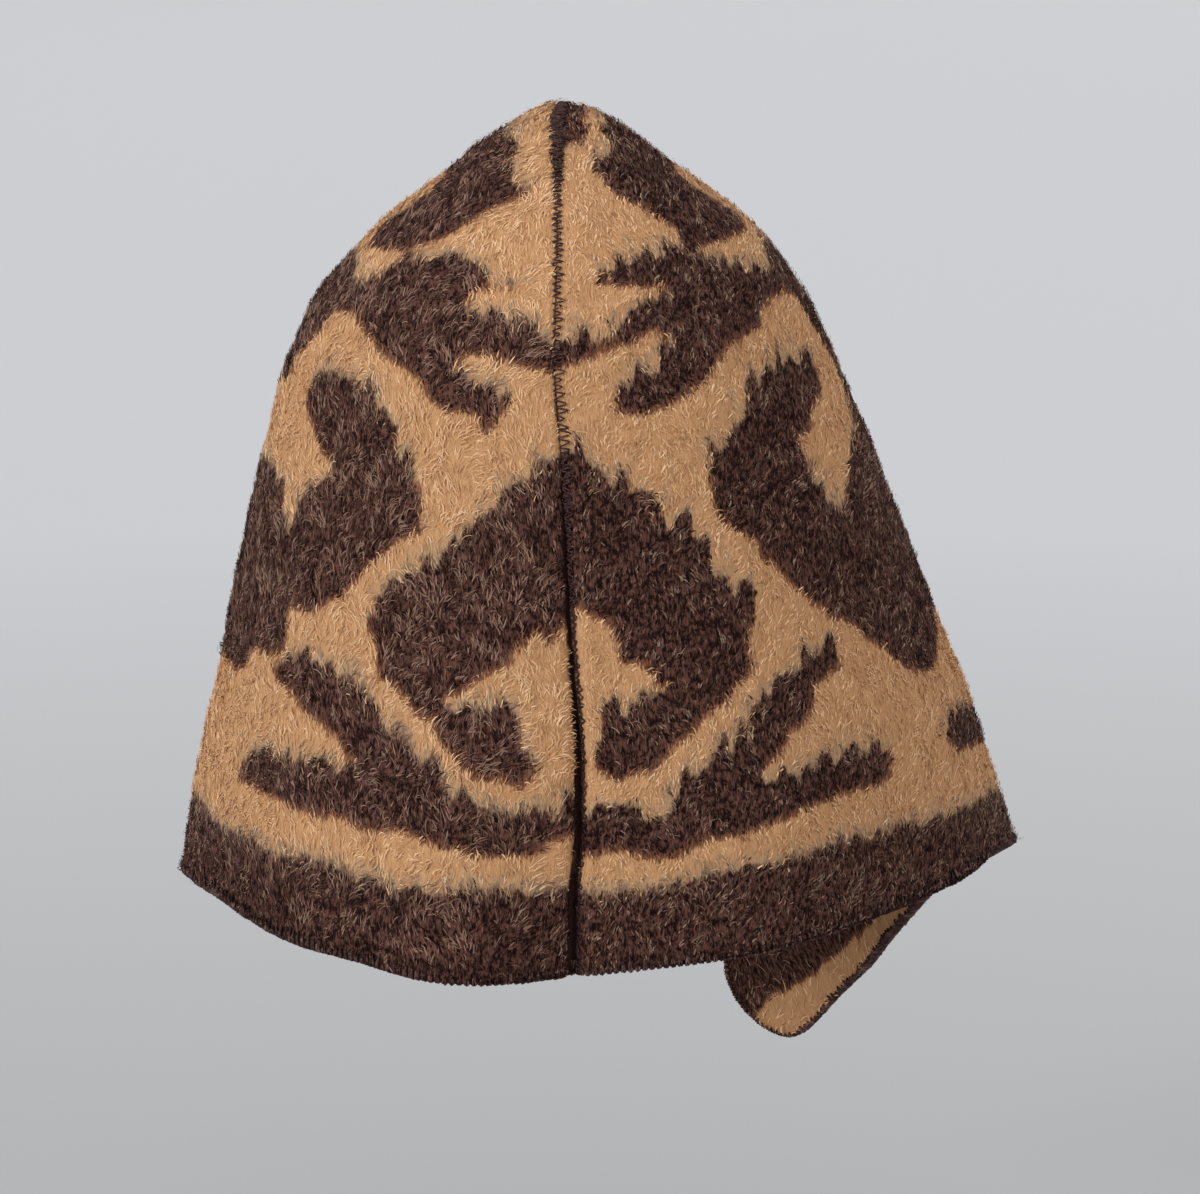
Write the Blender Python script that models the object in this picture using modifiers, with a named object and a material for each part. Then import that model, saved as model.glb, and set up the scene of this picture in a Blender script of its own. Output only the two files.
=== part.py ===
"""Sauna hat: two mirrored panels of brushed wool blanket, sewn up the back and over the peak.

Metres, +Z up. The origin is where the top of the wearer's head sits inside the crown. The back
seam faces -Y and the face opening +Y, so the wearer's left is at -X.
"""

import math

import bmesh
import bpy

# Overall sizes
HAT_HEIGHT = 0.282            # peak to the hem at the back seam
PEAK_ABOVE_HEAD = 0.025       # peak above the top of the head
HEM_HALF_WIDTH_LEFT = 0.141
HEM_HALF_WIDTH_RIGHT = 0.158
HEM_DEPTH_BACK = 0.149
HEM_DEPTH_FRONT = 0.150

# Cloth and seam
CLOTH = 0.003                 # brushed blanket, nap pressed flat
SEAM_GAP = 0.0003             # between the two cut edges
SEAM_OVERLAP = 0.002          # how far each panel is made past the seam before it is cut there

# Face opening
FACE_TOP = 0.122              # peak to the top of the opening, along the height
FACE_ARCH = 0.060             # height of its rounded top
FACE_HALF_WIDTH = 0.065

# Front corners, which hang below the hem
FLAP_DROP_LEFT = 0.080
FLAP_DROP_RIGHT = 0.116
FLAP_ROUND = 0.034            # height of the rounded corner
FLAP_SWING_LEFT = 0.034       # the left corner stands this far forward
FLAP_SWING_RIGHT = 0.0
FLAP_BEND = 0.80              # share of the hat's height at which the corners start to swing
HEM_LIFT = 0.012              # most that the hem rises at the sides

# Folds
FOLD_REACH = 0.012

# Mesh
COLUMNS = 37                  # quads from the back seam to the front edge
CROWN_ROWS = 14               # quads from the peak to the top of the face opening
SKIRT_ROWS = 21               # quads from there to the hem
CORNER_ROOM = 0.72            # columns crowd towards the front corner where this is under 1
ROW_ROOM = 1.25               # rows crowd towards the peak and the top of the face opening
CUTTER_SIDE = 1.2

LEFT, RIGHT = -1, 1

# Horizontal sections of the two panels. depth is the share of the hat's height below the peak,
# left, right, back and front are shares of the reach at the hem, and arc is half the turn in
# degrees that a panel makes from seam to seam: under 90 the seam is a ridge, over 90 a groove.
# The last row is for the front corners, which hang below the hem.
SECTIONS = (
    {"depth": 0.000, "left": 0.030, "right": 0.026, "back": 0.030, "front": 0.030, "arc": 66},
    {"depth": 0.020, "left": 0.120, "right": 0.104, "back": 0.120, "front": 0.115, "arc": 66},
    {"depth": 0.086, "left": 0.304, "right": 0.265, "back": 0.330, "front": 0.320, "arc": 70},
    {"depth": 0.155, "left": 0.483, "right": 0.424, "back": 0.500, "front": 0.490, "arc": 75},
    {"depth": 0.200, "left": 0.570, "right": 0.496, "back": 0.590, "front": 0.580, "arc": 78},
    {"depth": 0.250, "left": 0.650, "right": 0.552, "back": 0.665, "front": 0.655, "arc": 82},
    {"depth": 0.340, "left": 0.728, "right": 0.628, "back": 0.745, "front": 0.735, "arc": 86},
    {"depth": 0.480, "left": 0.799, "right": 0.736, "back": 0.820, "front": 0.815, "arc": 89},
    {"depth": 0.620, "left": 0.868, "right": 0.830, "back": 0.870, "front": 0.870, "arc": 94},
    {"depth": 0.770, "left": 0.924, "right": 0.930, "back": 0.925, "front": 0.930, "arc": 99},
    {"depth": 1.000, "left": 1.000, "right": 1.000, "back": 1.000, "front": 1.000, "arc": 103},
    {"depth": 1.420, "left": 1.020, "right": 0.985, "back": 1.030, "front": 1.000, "arc": 104},
)

# Height of the hem by the way along a panel from the back seam to its front edge. lift is a share
# of HEM_LIFT, and drop is a share of the side's flap drop.
HEM = (
    {"way": 0.00, "left_lift": 0.00, "right_lift": 0.00, "drop": 0.00},
    {"way": 0.08, "left_lift": 0.05, "right_lift": 0.25, "drop": 0.00},
    {"way": 0.22, "left_lift": 0.25, "right_lift": 0.55, "drop": 0.00},
    {"way": 0.40, "left_lift": 0.42, "right_lift": 0.90, "drop": 0.00},
    {"way": 0.52, "left_lift": 0.20, "right_lift": 1.00, "drop": 0.01},
    {"way": 0.60, "left_lift": 0.00, "right_lift": 0.90, "drop": 0.06},
    {"way": 0.68, "left_lift": 0.00, "right_lift": 0.40, "drop": 0.20},
    {"way": 0.77, "left_lift": 0.00, "right_lift": 0.10, "drop": 0.45},
    {"way": 0.86, "left_lift": 0.00, "right_lift": 0.00, "drop": 0.755},
    {"way": 0.93, "left_lift": 0.00, "right_lift": 0.00, "drop": 0.99},
    {"way": 1.00, "left_lift": 0.00, "right_lift": 0.00, "drop": 1.02},
)
FLAP_CORNER_SHARE = 0.90      # share of the way at which the corner starts to round off

# Folds that open towards the hem. turn is the share of the half turn from the back seam to the
# front seam, width is in the same share, begins is a share of the hat's height, and reach is a
# share of FOLD_REACH, outwards.
FOLDS = (
    {"side": LEFT, "turn": 0.09, "width": 0.10, "begins": 0.45, "reach": 0.75},
    {"side": LEFT, "turn": 0.34, "width": 0.14, "begins": 0.60, "reach": -0.35},
    {"side": LEFT, "turn": 0.56, "width": 0.16, "begins": 0.65, "reach": 0.35},
    {"side": LEFT, "turn": 0.72, "width": 0.10, "begins": 0.60, "reach": -0.50},
    {"side": RIGHT, "turn": 0.07, "width": 0.09, "begins": 0.50, "reach": -0.30},
    {"side": RIGHT, "turn": 0.24, "width": 0.20, "begins": 0.55, "reach": -0.75},
    {"side": RIGHT, "turn": 0.52, "width": 0.085, "begins": 0.68, "reach": 0.95},
    {"side": RIGHT, "turn": 0.64, "width": 0.10, "begins": 0.60, "reach": -0.45},
)


def column(table, along, name, at):
    """The named column of a table at a place between its rows, on a smooth curve."""
    rows = [(row[along], row[name]) for row in table]
    at = min(max(at, rows[0][0]), rows[-1][0])
    slopes = [(b[1] - a[1]) / (b[0] - a[0]) for a, b in zip(rows, rows[1:])]
    tangents = [slopes[0]]
    for before, after in zip(slopes, slopes[1:]):
        level = before * after <= 0
        tangents.append(0 if level else 2 * before * after / (before + after))
    tangents.append(slopes[-1])
    i = 0
    while i < len(rows) - 2 and at > rows[i + 1][0]:
        i += 1
    (x0, y0), (x1, y1) = rows[i], rows[i + 1]
    t = (at - x0) / (x1 - x0)
    bend = tangents[i] * (1 - t) - tangents[i + 1] * t
    chord = slopes[i] * (1 - 2 * t)
    return y0 + (y1 - y0) * t + (x1 - x0) * t * (1 - t) * (bend - chord)


def hump(offset):
    """1 at the middle of a fold, falling smoothly to 0 at its width."""
    return math.cos(math.pi / 2 * offset) ** 2 if abs(offset) < 1 else 0.0


def section(side, depth):
    """Half width, back reach, front reach and arc of a panel at this depth below the peak."""
    share = depth / HAT_HEIGHT
    if side == LEFT:
        width = HEM_HALF_WIDTH_LEFT * column(SECTIONS, "depth", "left", share)
    else:
        width = HEM_HALF_WIDTH_RIGHT * column(SECTIONS, "depth", "right", share)
    back = HEM_DEPTH_BACK * column(SECTIONS, "depth", "back", share)
    front = HEM_DEPTH_FRONT * column(SECTIONS, "depth", "front", share)
    arc = math.radians(column(SECTIONS, "depth", "arc", share))
    return width, back, front, arc


def turn_at(side, depth, x):
    """The turn towards the front seam at which a section is this far from the seam plane."""
    width, _, _, arc = section(side, depth)
    cosine = math.cos(arc) + x / width * (1 - math.cos(arc))
    return 0.5 + 0.5 * math.acos(min(max(cosine, -1), 1)) / arc


def fold_reach(side, turn, depth):
    """How far the folds push the cloth outwards."""
    share = depth / HAT_HEIGHT
    reach = 0.0
    for fold in FOLDS:
        if fold["side"] == side:
            opened = min(max((share - fold["begins"]) / (1 - fold["begins"]), 0), 1)
            place = hump((turn - fold["turn"]) / fold["width"])
            reach += FOLD_REACH * fold["reach"] * place * opened ** 1.5
    return reach


def flap_swing(side, turn, depth):
    """How far a front corner stands forward of the section."""
    swing = FLAP_SWING_LEFT if side == LEFT else FLAP_SWING_RIGHT
    drop = FLAP_DROP_LEFT if side == LEFT else FLAP_DROP_RIGHT
    start = FLAP_BEND * HAT_HEIGHT
    fallen = max(depth - start, 0) / (HAT_HEIGHT + drop - start)
    near_front = min(max((turn - 0.5) / 0.3, 0), 1)
    return swing * fallen ** 1.6 * near_front


def outer_point(side, turn, depth):
    """A point on the outside of the cloth."""
    width, back, front, arc = section(side, depth)
    angle = arc * (1 - 2 * turn)
    x = width * (math.cos(angle) - math.cos(arc)) / (1 - math.cos(arc))
    y = -(back if angle > 0 else front) * math.sin(angle) / math.sin(arc)
    reach = fold_reach(side, turn, depth) / math.hypot(x, y)
    x, y = x * (1 + reach), y * (1 + reach)
    y += flap_swing(side, turn, depth)
    return side * x, y, PEAK_ABOVE_HEAD - depth


def front_turn(side, depth):
    """The turn at a panel's front edge: past the front seam above the face opening."""
    fallen = min(max((depth - FACE_TOP) / FACE_ARCH, 0), 1)
    arch = math.sqrt(1 - (1 - fallen) ** 2)
    return turn_at(side, depth, FACE_HALF_WIDTH * arch)


def hem_depth(side, way):
    """The depth of the hem below the peak at a way along the panel."""
    lift = column(HEM, "way", "left_lift" if side == LEFT else "right_lift", way)
    drop = FLAP_DROP_LEFT if side == LEFT else FLAP_DROP_RIGHT
    past = min(max((way - FLAP_CORNER_SHARE) / (1 - FLAP_CORNER_SHARE), 0), 1)
    rounded = FLAP_ROUND * (1 - math.sqrt(1 - past ** 2))
    return HAT_HEIGHT - HEM_LIFT * lift + drop * column(HEM, "way", "drop", way) - rounded


def row_depth(row, hem):
    """The depth of a row of the mesh. One row lies all round at the top of the face opening."""
    if row <= CROWN_ROWS:
        return FACE_TOP * (row / CROWN_ROWS) ** ROW_ROOM
    return FACE_TOP + (hem - FACE_TOP) * ((row - CROWN_ROWS) / SKIRT_ROWS) ** ROW_ROOM


def panel_surface(side):
    """The open outer face of a panel, made a little past the seam plane."""
    mesh = bmesh.new()
    peak = mesh.verts.new((0, 0, PEAK_ABOVE_HEAD))
    rows = []
    for row in range(1, CROWN_ROWS + SKIRT_ROWS + 1):
        points = []
        for step in range(COLUMNS + 1):
            way = 1 - (1 - step / COLUMNS) ** (1 / CORNER_ROOM)
            depth = row_depth(row, hem_depth(side, way))
            x, y, z = outer_point(side, way * front_turn(side, depth), depth)
            on_seam = step == 0 or (step == COLUMNS and row <= CROWN_ROWS)
            points.append(mesh.verts.new((-side * SEAM_OVERLAP if on_seam else x, y, z)))
        rows.append(points)
    for i in range(COLUMNS):
        mesh.faces.new((peak, rows[0][i], rows[0][i + 1]))
    for upper, lower in zip(rows, rows[1:]):
        for i in range(COLUMNS):
            mesh.faces.new((upper[i], lower[i], lower[i + 1], upper[i + 1]))
    if side == LEFT:
        bmesh.ops.reverse_faces(mesh, faces=mesh.faces[:])
    return mesh


def cloth_material(name, colour):
    material = bpy.data.materials.new(name)
    material.use_nodes = True
    shader = material.node_tree.nodes["Principled BSDF"]
    shader.inputs["Base Color"].default_value = (*colour, 1)
    shader.inputs["Roughness"].default_value = 0.95
    shader.inputs["Metallic"].default_value = 0.0
    shader.inputs["Sheen Weight"].default_value = 0.3
    material.diffuse_color = (*colour, 1)
    return material


def half_space(name, side, collection):
    """A block that holds everything on one side of the seam."""
    bpy.ops.mesh.primitive_cube_add(size=CUTTER_SIDE)
    block = bpy.context.active_object
    block.name = name
    block.location = (side * (CUTTER_SIDE / 2 + SEAM_GAP / 2), 0, 0)
    block.hide_render = True
    block.display_type = "WIRE"
    for holder in list(block.users_collection):
        holder.objects.unlink(block)
    collection.objects.link(block)
    return block


def panel(name, side, material, hat, cutters):
    """One panel: its outer face given the cloth's thickness inwards and cut square at the seam."""
    surface = panel_surface(side)
    mesh = bpy.data.meshes.new(name)
    surface.to_mesh(mesh)
    surface.free()
    mesh.shade_smooth()
    body = bpy.data.objects.new(name, mesh)
    hat.objects.link(body)
    body.data.materials.append(material)
    cloth = body.modifiers.new("cloth", "SOLIDIFY")
    cloth.thickness = CLOTH
    cloth.offset = -1
    seam = body.modifiers.new("seam", "BOOLEAN")
    seam.operation = "INTERSECT"
    seam.object = half_space(name + "_half", side, cutters)
    return body


def main():
    for old in list(bpy.data.objects):
        bpy.data.objects.remove(old)
    hat = bpy.data.collections.new("sauna_hat")
    cutters = bpy.data.collections.new("cutters")
    for group in (hat, cutters):
        bpy.context.scene.collection.children.link(group)
    wool = cloth_material("brushed_wool", (0.33, 0.20, 0.11))
    panel("left_panel", LEFT, wool, hat, cutters)
    panel("right_panel", RIGHT, wool, hat, cutters)


main()
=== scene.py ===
"""Dressed sauna hat: brushed wool blanket with its ornament, nap and overlock thread.

Metres, +Z up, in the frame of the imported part. The outside of the cloth follows the sizes and
tables of the part's own source, which are repeated here.
"""

import math

import bpy
import numpy as np
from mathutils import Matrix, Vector


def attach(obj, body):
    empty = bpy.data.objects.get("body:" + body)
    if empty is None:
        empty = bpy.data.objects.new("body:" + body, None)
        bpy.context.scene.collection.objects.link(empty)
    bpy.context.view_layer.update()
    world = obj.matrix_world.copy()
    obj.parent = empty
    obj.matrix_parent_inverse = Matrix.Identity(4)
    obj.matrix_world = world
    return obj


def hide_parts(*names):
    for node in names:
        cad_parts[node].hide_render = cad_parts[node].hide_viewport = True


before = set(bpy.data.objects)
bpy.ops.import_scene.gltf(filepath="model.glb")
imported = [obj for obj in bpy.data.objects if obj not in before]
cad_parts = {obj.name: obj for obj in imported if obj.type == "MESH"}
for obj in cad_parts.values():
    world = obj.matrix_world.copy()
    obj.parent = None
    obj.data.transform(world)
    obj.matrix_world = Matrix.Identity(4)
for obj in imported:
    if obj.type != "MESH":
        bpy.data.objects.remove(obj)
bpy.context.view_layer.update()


def rows(names, *values):
    """A table as a list of rows with named columns."""
    return [dict(zip(names.split(), row)) for row in values]


LEFT, RIGHT = -1, 1
WORD = {LEFT: "left", RIGHT: "right"}

# Sizes of the part
HAT_HEIGHT = 0.282
PEAK_ABOVE_HEAD = 0.025
HEM_HALF_WIDTH = {LEFT: 0.141, RIGHT: 0.158}
HEM_DEPTH_BACK = 0.149
HEM_DEPTH_FRONT = 0.150
CLOTH = 0.003
FACE_TOP = 0.122
FACE_ARCH = 0.060
FACE_HALF_WIDTH = 0.065
FLAP_DROP = {LEFT: 0.080, RIGHT: 0.116}
FLAP_ROUND = 0.034
FLAP_SWING = {LEFT: 0.034, RIGHT: 0.0}
FLAP_SWING_TURN = 0.3
FLAP_SWING_POWER = 1.6
FLAP_BEND = 0.80
FLAP_CORNER_SHARE = 0.90
HEM_LIFT = 0.012
FOLD_REACH = 0.012
FOLD_POWER = 1.5

SECTIONS = rows(
    "depth left right back front arc",
    (0.000, 0.030, 0.026, 0.030, 0.030, 66),
    (0.020, 0.120, 0.104, 0.120, 0.115, 66),
    (0.086, 0.304, 0.265, 0.330, 0.320, 70),
    (0.155, 0.483, 0.424, 0.500, 0.490, 75),
    (0.200, 0.570, 0.496, 0.590, 0.580, 78),
    (0.250, 0.650, 0.552, 0.665, 0.655, 82),
    (0.340, 0.728, 0.628, 0.745, 0.735, 86),
    (0.480, 0.799, 0.736, 0.820, 0.815, 89),
    (0.620, 0.868, 0.830, 0.870, 0.870, 94),
    (0.770, 0.924, 0.930, 0.925, 0.930, 99),
    (1.000, 1.000, 1.000, 1.000, 1.000, 103),
    (1.420, 1.020, 0.985, 1.030, 1.000, 104),
)
HEM = rows(
    "way left_lift right_lift drop",
    (0.00, 0.00, 0.00, 0.00),
    (0.08, 0.05, 0.25, 0.00),
    (0.22, 0.25, 0.55, 0.00),
    (0.40, 0.42, 0.90, 0.00),
    (0.52, 0.20, 1.00, 0.01),
    (0.60, 0.00, 0.90, 0.06),
    (0.68, 0.00, 0.40, 0.20),
    (0.77, 0.00, 0.10, 0.45),
    (0.86, 0.00, 0.00, 0.755),
    (0.93, 0.00, 0.00, 0.99),
    (1.00, 0.00, 0.00, 1.02),
)
FOLDS = rows(
    "side turn width begins reach",
    (LEFT, 0.09, 0.10, 0.45, 0.75),
    (LEFT, 0.34, 0.14, 0.60, -0.35),
    (LEFT, 0.56, 0.16, 0.65, 0.35),
    (LEFT, 0.72, 0.10, 0.60, -0.50),
    (RIGHT, 0.07, 0.09, 0.50, -0.30),
    (RIGHT, 0.24, 0.20, 0.55, -0.75),
    (RIGHT, 0.52, 0.085, 0.68, 0.95),
    (RIGHT, 0.64, 0.10, 0.60, -0.45),
)

# The photograph's frame, which the ornament is charted in
FRAME_WIDTH, FRAME_HEIGHT = 1200, 1194
FOCAL_PIXELS = 4000.0
CAMERA_PLACE = (0.01221, -1.44872, 0.14562)
CAMERA_TILT = math.radians(11.8)
SENSOR = 36.0

# How far the back seam wanders sideways, by the depth below the peak, in metres
SEAM_SWAY = rows(
    "depth sway",
    (0.000, -0.0032),
    (0.040, -0.0027),
    (0.078, -0.0032),
    (0.112, -0.0008),
    (0.165, 0.0018),
    (0.192, 0.0038),
    (0.212, 0.0050),
    (0.234, 0.0050),
    (0.252, 0.0036),
    (0.282, 0.0029),
)
SWAY_TURN = 0.22              # the sway has died out at this turn

# The groove that the seam lies in, by the depth below the peak, in metres
GROOVE = rows(
    "depth deep left right",
    (0.000, 0.0008, 0.0040, 0.0040),
    (0.090, 0.0014, 0.0016, 0.0036),
    (0.130, 0.0036, 0.0017, 0.0034),
    (0.200, 0.0042, 0.0018, 0.0028),
    (0.282, 0.0040, 0.0022, 0.0028),
)
FRONT_GROOVE = 0.5            # its depth at the front seam, as a share

# Mesh of the cloth
COLUMNS = 240
CROWN_ROWS = 52
SKIRT_ROWS = 83
ROW_ROOM = 1.15
SEAM_CROWD = (0.80, 7)        # how much closer the columns are near the seam, over how many
FRONT_CROWD = (0.55, 6)       # and near the front edge
PEAK_SHARES = (0.04, 0.5)     # the first rows, as shares of the reach of the row after them
WOBBLE = 0.0007               # slow unevenness of the cloth
LUMPS = 0.00060               # clumps of the nap
SMOOTH_SEAM = 0.006           # both fade out within this distance of the seam

# Fields of noise over the cloth. across and down are the size of a cell in metres, and a field
# that is endless across changes with the length alone. moved is in cells.
TEETH_APART = 0.0033
FIELDS = rows(
    "name across down moved seed",
    ("wobble", 0.030, 0.034, 40, 11),
    ("thread_edge", math.inf, 0.0035, 3, 15),
    ("lumps", 0.0040, 0.0062, 0, 21),
    ("slow_edge", 0.009, 0.016, 7, 41),
    ("fine_edge", 0.0012, 0.0035, 0, 51),
    ("swirl", 0.010, 0.010, 0, 61),
    ("small_swirl", 0.0045, 0.0045, 0, 71),
    ("strands", TEETH_APART / 2, 0.0026, 0, 81),
    ("patches", 0.0060, 0.0085, 0, 91),
    ("tufts", 0.0028, 0.0040, 0, 95),
    ("dots", TEETH_APART, 0.0042, 0, 96),
)

# Ragged edges of the ornament, in metres. The teeth are full high where an edge faces up, and
# low near the hem.
TEETH_HEIGHT = {LEFT: 0.0024, RIGHT: 0.0038}
TEETH_LENGTH = 0.009
TEETH_SEED = 31
TEETH_STEEPNESS = 2.5
TEETH_LEVEL, TEETH_UPPER = 0.60, 0.80
LOW_TEETH_BELOW, LOW_TEETH_FADE, LOW_TEETH = 0.030, 0.025, 0.22
SLOW_EDGE = 0.0008
FINE_EDGE = 0.0014

# Height of the brown border above the hem on the front half, by the way along a panel. It is
# measured from the hem as it would be with square corners.
BORDER = rows(
    "way left right",
    (0.40, 0.0310, 0.0280),
    (0.54, 0.0300, 0.0240),
    (0.70, 0.0220, 0.0165),
    (0.80, 0.0160, 0.0145),
    (0.86, 0.0170, 0.0185),
    (0.92, 0.0200, 0.0215),
    (0.95, 0.0190, 0.0165),
    (0.97, 0.0180, 0.0085),
    (1.00, 0.0160, 0.0010),
)
CHART_COLUMNS = 170
CHART_ROWS = 260
CHART_TOP = 0.0005
CHART_DEPTH = 0.300
CHART_STEP = 3.0              # pixels between samples of an outline
CHART_SLACK = 3.5             # samples further than this from the cloth are left out

# Outlines of the ornament as it lies in the photograph's frame, in pixels. Those that pass the
# seam or the side of the hat are drawn on past it.
LEFT_CHART = {
    "crown_bar": (
        (365, 248), (403, 250), (432, 242), (452, 234), (476, 218), (501, 206), (523, 198),
        (527, 188), (513, 180), (507, 165), (516, 150), (513, 134), (500, 118), (470, 138),
        (440, 162), (446, 174), (428, 192), (410, 206), (379, 227)),
    "crown_hook": (
        (320, 244), (350, 252), (356, 262), (352, 275), (356, 282), (373, 280), (390, 264),
        (404, 259), (438, 255), (453, 262), (477, 267), (491, 276), (489, 285), (521, 286),
        (511, 292), (482, 292), (465, 297), (464, 310), (477, 319), (491, 314), (518, 325),
        (533, 337), (552, 344), (590, 350), (590, 374), (560, 373), (535, 371), (511, 364),
        (487, 355), (462, 356), (455, 371), (472, 383), (494, 391), (510, 400), (502, 414),
        (489, 431), (481, 431), (477, 414), (448, 414), (433, 405), (424, 390), (417, 376),
        (397, 366), (377, 347), (363, 330), (352, 315), (336, 310), (324, 322), (317, 337),
        (302, 350), (293, 366), (286, 380), (250, 380), (280, 300)),
    "side_hook": (
        (317, 372), (327, 366), (348, 379), (370, 385), (375, 400), (375, 414), (390, 421),
        (401, 428), (391, 451), (407, 453), (413, 476), (419, 507), (421, 532), (406, 537),
        (389, 547), (384, 556), (367, 568), (355, 583), (336, 598), (314, 610), (290, 610),
        (287, 634), (282, 653), (263, 653), (256, 646), (248, 651), (246, 665), (236, 670),
        (225, 658), (190, 640), (225, 450), (267, 456), (275, 471), (285, 488), (284, 513),
        (290, 526), (297, 515), (299, 500), (309, 486), (331, 479), (336, 467), (324, 458),
        (314, 439), (310, 417), (306, 397)),
    "middle_hook": (
        (590, 458), (561, 462), (544, 463), (534, 476), (522, 488), (508, 488), (498, 501),
        (496, 513), (469, 520), (462, 537), (445, 549), (438, 556), (421, 556), (416, 568),
        (401, 576), (389, 590), (375, 598), (375, 615), (367, 629), (379, 641), (375, 658),
        (379, 678), (396, 687), (406, 704), (418, 716), (430, 721), (440, 741), (452, 753),
        (457, 765), (479, 779), (498, 779), (513, 787), (530, 779), (532, 767), (520, 745),
        (522, 724), (508, 709), (491, 709), (476, 707), (447, 702), (445, 697), (457, 697),
        (474, 685), (486, 673), (510, 665), (515, 651), (537, 634), (549, 644), (554, 634),
        (564, 622), (600, 612)),
    "lower_bars": (
        (282, 655), (306, 656), (318, 665), (342, 671), (354, 680), (366, 704), (381, 707),
        (381, 722), (399, 737), (411, 755), (429, 764), (444, 782), (459, 797), (474, 812),
        (492, 809), (522, 818), (546, 806), (552, 821), (570, 797), (610, 800), (610, 838),
        (573, 836), (555, 839), (537, 851), (510, 857), (480, 857), (450, 848), (426, 842),
        (399, 830), (366, 830), (342, 818), (321, 815), (288, 806), (258, 788), (240, 779),
        (243, 764), (249, 749), (267, 746), (276, 755), (300, 761), (336, 767), (360, 764),
        (345, 755), (339, 737), (330, 731), (303, 707), (285, 686), (272, 671)),
    "border": (
        (120, 795), (195, 797), (213, 818), (228, 830), (255, 839), (279, 857), (300, 857),
        (330, 863), (360, 878), (390, 884), (420, 890), (438, 899), (465, 887), (495, 890),
        (537, 893), (570, 890), (620, 890), (620, 1120), (120, 1120)),
}
RIGHT_CHART = {
    "crown_bar": (
        (600, 152), (613, 146), (606, 130), (604, 112), (640, 124), (682, 158), (676, 172),
        (690, 184), (717, 202), (739, 217), (748, 234), (726, 240), (702, 247), (703, 258),
        (684, 258), (682, 246), (678, 228), (653, 219), (643, 206), (624, 202), (612, 193),
        (596, 172)),
    "crown_hook": (
        (592, 281), (612, 268), (634, 258), (648, 251), (673, 246), (702, 251), (717, 261),
        (744, 266), (772, 270), (764, 255), (762, 240), (795, 240), (830, 270), (880, 400),
        (900, 470), (845, 471), (853, 452), (856, 428), (845, 396), (835, 369), (824, 348),
        (811, 324), (797, 300), (790, 294), (770, 298), (762, 313), (760, 326), (744, 338),
        (728, 348), (718, 361), (711, 375), (690, 391), (674, 404), (647, 412), (623, 416),
        (615, 401), (618, 385), (630, 380), (631, 368), (655, 364), (665, 348), (669, 333),
        (655, 328), (639, 337), (628, 344), (607, 353), (580, 361), (530, 372), (530, 350),
        (575, 346), (587, 332), (594, 337), (615, 328), (632, 316), (644, 306), (666, 294),
        (669, 285), (652, 288), (620, 286)),
    "side_hook": (
        (789, 349), (797, 356), (813, 359), (819, 380), (820, 396), (811, 412), (811, 428),
        (797, 439), (805, 455), (811, 471), (824, 487), (827, 501), (845, 501), (848, 471),
        (853, 436), (880, 420), (960, 600), (932, 600), (935, 619), (937, 631), (936, 659),
        (932, 670), (917, 672), (902, 664), (889, 652), (869, 639), (853, 624), (838, 619),
        (813, 603), (792, 583), (777, 568), (762, 555), (756, 542), (739, 534), (721, 517),
        (713, 491), (708, 468), (714, 447), (728, 428), (738, 409), (752, 391), (754, 372),
        (773, 359)),
    "middle_hook": (
        (530, 445), (565, 445), (575, 448), (586, 463), (603, 481), (611, 476), (616, 488),
        (626, 476), (624, 499), (642, 499), (659, 501), (657, 524), (670, 529), (688, 522),
        (688, 539), (698, 550), (708, 552), (708, 568), (726, 562), (733, 585), (751, 583),
        (756, 593), (751, 613), (749, 634), (754, 657), (751, 675), (736, 687), (721, 705),
        (703, 718), (695, 733), (675, 746), (657, 767), (637, 774), (619, 782), (603, 774),
        (598, 756), (606, 736), (606, 716), (619, 708), (634, 710), (649, 700), (667, 695),
        (670, 680), (657, 685), (644, 664), (621, 662), (619, 642), (614, 621), (593, 619),
        (583, 608), (530, 604)),
    "lower_bars": (
        (822, 641), (835, 644), (838, 666), (816, 685), (810, 716), (788, 732), (785, 747),
        (772, 760), (760, 776), (779, 772), (816, 760), (841, 747), (885, 741), (891, 754),
        (891, 779), (866, 788), (841, 794), (810, 807), (785, 819), (757, 829), (735, 838),
        (707, 838), (685, 854), (657, 860), (622, 851), (585, 854), (540, 850), (540, 812),
        (582, 810), (594, 810), (622, 810), (651, 813), (676, 801), (691, 776), (716, 754),
        (741, 735), (747, 710), (763, 697), (779, 672), (801, 657)),
    "side_patch": (
        (963, 707), (947, 716), (947, 738), (957, 751), (976, 744), (1010, 740), (1000, 700)),
    "peak_patch": (
        (560, 96), (590, 100), (586, 116), (589, 134), (581, 146), (572, 143), (560, 150)),
    "border": (
        (530, 891), (582, 891), (604, 898), (629, 891), (663, 888), (694, 882), (735, 869),
        (779, 863), (810, 848), (841, 841), (873, 835), (898, 826), (935, 819), (966, 807),
        (991, 791), (1060, 780), (1060, 1120), (530, 1120)),
}
CHART = {LEFT: LEFT_CHART, RIGHT: RIGHT_CHART}

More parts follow.
